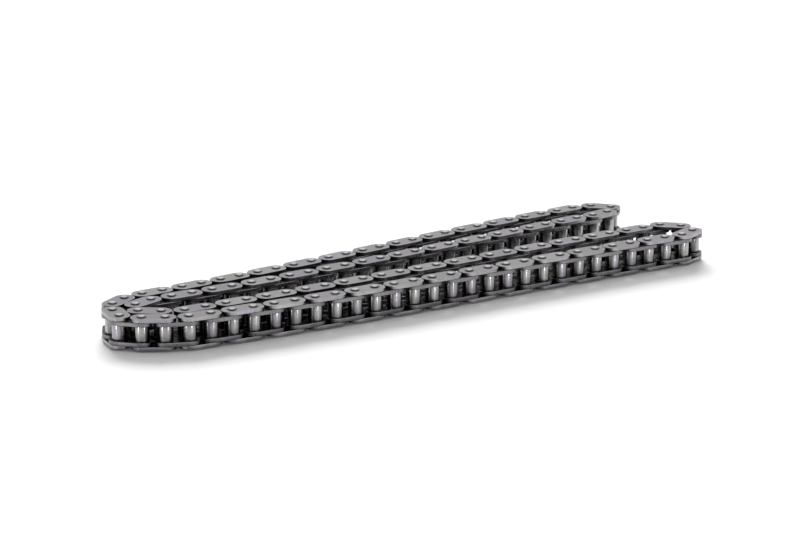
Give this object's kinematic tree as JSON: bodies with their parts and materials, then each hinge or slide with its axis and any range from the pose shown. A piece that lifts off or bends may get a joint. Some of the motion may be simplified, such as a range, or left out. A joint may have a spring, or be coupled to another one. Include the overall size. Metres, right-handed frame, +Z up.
{
  "type": "roller chain",
  "caption": "Endless steel roller chain lying on its side, folded in half with its ends spread; outer and inner links pivot on riveted pins.",
  "frame": {"origin": "middle of the folded chain seen from above, on the surface it lies on, level with the lower ends of the pins", "axes": "+X along the folded chain from the two left bends towards the open, spread end; +Y towards the back arm; +Z up, along the pins"},
  "size_m": [0.2888, 0.0778, 0.0144],
  "materials": {
    "outer_plate": "satin",
    "inner_plate": "satin",
    "pin": "satin",
    "bush": "satin",
    "roller": "polished"
  },
  "bodies": {
    "back_arm": {"back_outer_strand_outer_plates": "outer_plate", "back_outer_strand_pins": "pin", "back_outer_strand_inner_plates": "inner_plate", "back_outer_strand_bushes": "bush", "back_outer_strand_rollers": "roller", "back_inner_strand_outer_plates": "outer_plate", "back_inner_strand_pins": "pin", "back_inner_strand_inner_plates": "inner_plate", "back_inner_strand_bushes": "bush", "back_inner_strand_rollers": "roller"},
    "front_arm": {"front_outer_strand_outer_plates": "outer_plate", "front_outer_strand_pins": "pin", "front_outer_strand_inner_plates": "inner_plate", "front_outer_strand_bushes": "bush", "front_outer_strand_rollers": "roller", "front_inner_strand_outer_plates": "outer_plate", "front_inner_strand_pins": "pin", "front_inner_strand_inner_plates": "inner_plate", "front_inner_strand_bushes": "bush", "front_inner_strand_rollers": "roller"},
    "inner_bend_link_1": {"inner_bend_link_1_plates": "inner_plate", "inner_bend_link_1_bushes": "bush"},
    "inner_bend_link_2": {"inner_bend_link_2_plates": "outer_plate", "inner_bend_link_2_pins": "pin"},
    "inner_bend_link_3": {"inner_bend_link_3_plates": "inner_plate", "inner_bend_link_3_bushes": "bush"},
    "inner_bend_link_4": {"inner_bend_link_4_plates": "outer_plate", "inner_bend_link_4_pins": "pin"},
    "inner_bend_link_5": {"inner_bend_link_5_plates": "inner_plate", "inner_bend_link_5_bushes": "bush"},
    "inner_bend_link_6": {"inner_bend_link_6_plates": "outer_plate", "inner_bend_link_6_pins": "pin"},
    "inner_bend_link_7": {"inner_bend_link_7_plates": "inner_plate", "inner_bend_link_7_bushes": "bush"},
    "inner_bend_link_8": {"inner_bend_link_8_plates": "outer_plate", "inner_bend_link_8_pins": "pin"},
    "front_hairpin_link_1": {"front_hairpin_link_1_plates": "outer_plate", "front_hairpin_link_1_pins": "pin"},
    "front_hairpin_link_2": {"front_hairpin_link_2_plates": "inner_plate", "front_hairpin_link_2_bushes": "bush"},
    "front_hairpin_link_3": {"front_hairpin_link_3_plates": "outer_plate", "front_hairpin_link_3_pins": "pin"},
    "back_hairpin_link_1": {"back_hairpin_link_1_plates": "outer_plate", "back_hairpin_link_1_pins": "pin"},
    "back_hairpin_link_2": {"back_hairpin_link_2_plates": "inner_plate", "back_hairpin_link_2_bushes": "bush"},
    "back_hairpin_link_3": {"back_hairpin_link_3_plates": "outer_plate", "back_hairpin_link_3_pins": "pin"},
    "inner_bend_link_1_roller_a_body": {"inner_bend_link_1_roller_a": "roller"},
    "inner_bend_link_1_roller_b_body": {"inner_bend_link_1_roller_b": "roller"},
    "inner_bend_link_3_roller_a_body": {"inner_bend_link_3_roller_a": "roller"},
    "inner_bend_link_3_roller_b_body": {"inner_bend_link_3_roller_b": "roller"},
    "inner_bend_link_5_roller_a_body": {"inner_bend_link_5_roller_a": "roller"},
    "inner_bend_link_5_roller_b_body": {"inner_bend_link_5_roller_b": "roller"},
    "inner_bend_link_7_roller_a_body": {"inner_bend_link_7_roller_a": "roller"},
    "inner_bend_link_7_roller_b_body": {"inner_bend_link_7_roller_b": "roller"},
    "front_hairpin_link_2_roller_a_body": {"front_hairpin_link_2_roller_a": "roller"},
    "front_hairpin_link_2_roller_b_body": {"front_hairpin_link_2_roller_b": "roller"},
    "back_hairpin_link_2_roller_a_body": {"back_hairpin_link_2_roller_a": "roller"},
    "back_hairpin_link_2_roller_b_body": {"back_hairpin_link_2_roller_b": "roller"}
  },
  "joints": [
    {"name": "opening_pivot", "type": "hinge", "parent": "back_arm", "child": "front_arm", "pos_m": [-0.13775, 0.00779, 0.0072], "axis": [0, 0, -1], "range_deg": [0, 30]},
    {"name": "inner_bend_pivot_1", "type": "hinge", "parent": "front_arm", "child": "inner_bend_link_1", "pos_m": [-0.09502, -0.01043, 0.0072], "axis": [0, 0, -1], "range_deg": [0, 8.71]},
    {"name": "inner_bend_pivot_2", "type": "hinge", "parent": "inner_bend_link_1", "child": "inner_bend_link_2", "pos_m": [-0.10453, -0.00992, 0.0072], "axis": [0, 0, 1], "range_deg": [0, 3]},
    {"name": "inner_bend_pivot_3", "type": "hinge", "parent": "inner_bend_link_2", "child": "inner_bend_link_3", "pos_m": [-0.11403, -0.00932, 0.0072], "axis": [0, 0, 1], "range_deg": [0, 3.01]},
    {"name": "inner_bend_pivot_4", "type": "hinge", "parent": "inner_bend_link_3", "child": "inner_bend_link_4", "pos_m": [-0.12273, -0.00544, 0.0072], "axis": [0, 0, 1], "range_deg": [0, 3.01]},
    {"name": "inner_bend_pivot_9", "type": "hinge", "parent": "back_arm", "child": "inner_bend_link_8", "pos_m": [-0.09798, 0.01128, 0.0072], "axis": [0, 0, 1], "range_deg": [0, 8.41]},
    {"name": "inner_bend_pivot_8", "type": "hinge", "parent": "inner_bend_link_8", "child": "inner_bend_link_7", "pos_m": [-0.10749, 0.0118, 0.0072], "axis": [0, 0, 1], "range_deg": [0, 3]},
    {"name": "inner_bend_pivot_7", "type": "hinge", "parent": "inner_bend_link_7", "child": "inner_bend_link_6", "pos_m": [-0.11699, 0.01245, 0.0072], "axis": [0, 0, -1], "range_deg": [0, 15.93]},
    {"name": "inner_bend_pivot_6", "type": "hinge", "parent": "inner_bend_link_6", "child": "inner_bend_link_5", "pos_m": [-0.12605, 0.00951, 0.0072], "axis": [0, 0, -1], "range_deg": [0, 14.7]},
    {"name": "front_hairpin_pivot_1", "type": "hinge", "parent": "front_arm", "child": "front_hairpin_link_1", "pos_m": [0.12945, -0.03444, 0.0072], "axis": [0, 0, 1], "range_deg": [0, 10]},
    {"name": "front_hairpin_pivot_2", "type": "hinge", "parent": "front_hairpin_link_1", "child": "front_hairpin_link_2", "pos_m": [0.1384, -0.03118, 0.0072], "axis": [0, 0, -1], "range_deg": [0, 20.85]},
    {"name": "front_hairpin_pivot_4", "type": "hinge", "parent": "front_arm", "child": "front_hairpin_link_3", "pos_m": [0.13352, -0.0147, 0.0072], "axis": [0, 0, 1], "range_deg": [0, 9.31]},
    {"name": "back_hairpin_pivot_1", "type": "hinge", "parent": "back_arm", "child": "back_hairpin_link_1", "pos_m": [0.12089, 0.01772, 0.0072], "axis": [0, 0, -1], "range_deg": [0, 10]},
    {"name": "back_hairpin_pivot_2", "type": "hinge", "parent": "back_hairpin_link_1", "child": "back_hairpin_link_2", "pos_m": [0.13035, 0.01888, 0.0072], "axis": [0, 0, 1], "range_deg": [0, 18.47]},
    {"name": "back_hairpin_pivot_4", "type": "hinge", "parent": "back_arm", "child": "back_hairpin_link_3", "pos_m": [0.1317, 0.03246, 0.0072], "axis": [0, 0, -1], "range_deg": [0, 6.52]},
    {"name": "inner_bend_link_1_roller_a_spin", "type": "hinge", "parent": "inner_bend_link_1", "child": "inner_bend_link_1_roller_a_body", "pos_m": [-0.09502, -0.01043, 0.0072], "axis": [0, 0, 1], "continuous": true},
    {"name": "inner_bend_link_1_roller_b_spin", "type": "hinge", "parent": "inner_bend_link_1", "child": "inner_bend_link_1_roller_b_body", "pos_m": [-0.10453, -0.00992, 0.0072], "axis": [0, 0, 1], "continuous": true},
    {"name": "inner_bend_link_3_roller_a_spin", "type": "hinge", "parent": "inner_bend_link_3", "child": "inner_bend_link_3_roller_a_body", "pos_m": [-0.11403, -0.00932, 0.0072], "axis": [0, 0, 1], "continuous": true},
    {"name": "inner_bend_link_3_roller_b_spin", "type": "hinge", "parent": "inner_bend_link_3", "child": "inner_bend_link_3_roller_b_body", "pos_m": [-0.12273, -0.00544, 0.0072], "axis": [0, 0, 1], "continuous": true},
    {"name": "inner_bend_link_5_roller_a_spin", "type": "hinge", "parent": "inner_bend_link_5", "child": "inner_bend_link_5_roller_a_body", "pos_m": [-0.12992, 0.00081, 0.0072], "axis": [0, 0, 1], "continuous": true},
    {"name": "inner_bend_link_5_roller_b_spin", "type": "hinge", "parent": "inner_bend_link_5", "child": "inner_bend_link_5_roller_b_body", "pos_m": [-0.12605, 0.00951, 0.0072], "axis": [0, 0, 1], "continuous": true},
    {"name": "inner_bend_link_7_roller_a_spin", "type": "hinge", "parent": "inner_bend_link_7", "child": "inner_bend_link_7_roller_a_body", "pos_m": [-0.11699, 0.01245, 0.0072], "axis": [0, 0, 1], "continuous": true},
    {"name": "inner_bend_link_7_roller_b_spin", "type": "hinge", "parent": "inner_bend_link_7", "child": "inner_bend_link_7_roller_b_body", "pos_m": [-0.10749, 0.0118, 0.0072], "axis": [0, 0, 1], "continuous": true},
    {"name": "front_hairpin_link_2_roller_a_spin", "type": "hinge", "parent": "front_hairpin_link_2", "child": "front_hairpin_link_2_roller_a_body", "pos_m": [0.1384, -0.03118, 0.0072], "axis": [0, 0, 1], "continuous": true},
    {"name": "front_hairpin_link_2_roller_b_spin", "type": "hinge", "parent": "front_hairpin_link_2", "child": "front_hairpin_link_2_roller_b_body", "pos_m": [0.13989, -0.02178, 0.0072], "axis": [0, 0, 1], "continuous": true},
    {"name": "back_hairpin_link_2_roller_a_spin", "type": "hinge", "parent": "back_hairpin_link_2", "child": "back_hairpin_link_2_roller_a_body", "pos_m": [0.13035, 0.01888, 0.0072], "axis": [0, 0, 1], "continuous": true},
    {"name": "back_hairpin_link_2_roller_b_spin", "type": "hinge", "parent": "back_hairpin_link_2", "child": "back_hairpin_link_2_roller_b_body", "pos_m": [0.13764, 0.02501, 0.0072], "axis": [0, 0, 1], "continuous": true}
  ],
  "couplings": [
    {"joint": "inner_bend_pivot_1", "follows": "opening_pivot", "ratio": 0.2898},
    {"joint": "inner_bend_pivot_2", "follows": "opening_pivot", "ratio": 0.0995},
    {"joint": "inner_bend_pivot_3", "follows": "opening_pivot", "ratio": 0.0999},
    {"joint": "inner_bend_pivot_4", "follows": "opening_pivot", "ratio": 0.1},
    {"joint": "inner_bend_pivot_9", "follows": "opening_pivot", "ratio": 0.28},
    {"joint": "inner_bend_pivot_8", "follows": "opening_pivot", "ratio": 0.0995},
    {"joint": "inner_bend_pivot_7", "follows": "opening_pivot", "ratio": 0.5306},
    {"joint": "inner_bend_pivot_6", "follows": "opening_pivot", "ratio": 0.4896},
    {"joint": "front_hairpin_pivot_2", "follows": "front_hairpin_pivot_1", "ratio": 2.0834},
    {"joint": "front_hairpin_pivot_4", "follows": "front_hairpin_pivot_1", "ratio": 0.9299},
    {"joint": "back_hairpin_pivot_2", "follows": "back_hairpin_pivot_1", "ratio": 1.8455},
    {"joint": "back_hairpin_pivot_4", "follows": "back_hairpin_pivot_1", "ratio": 0.6507}
  ]
}
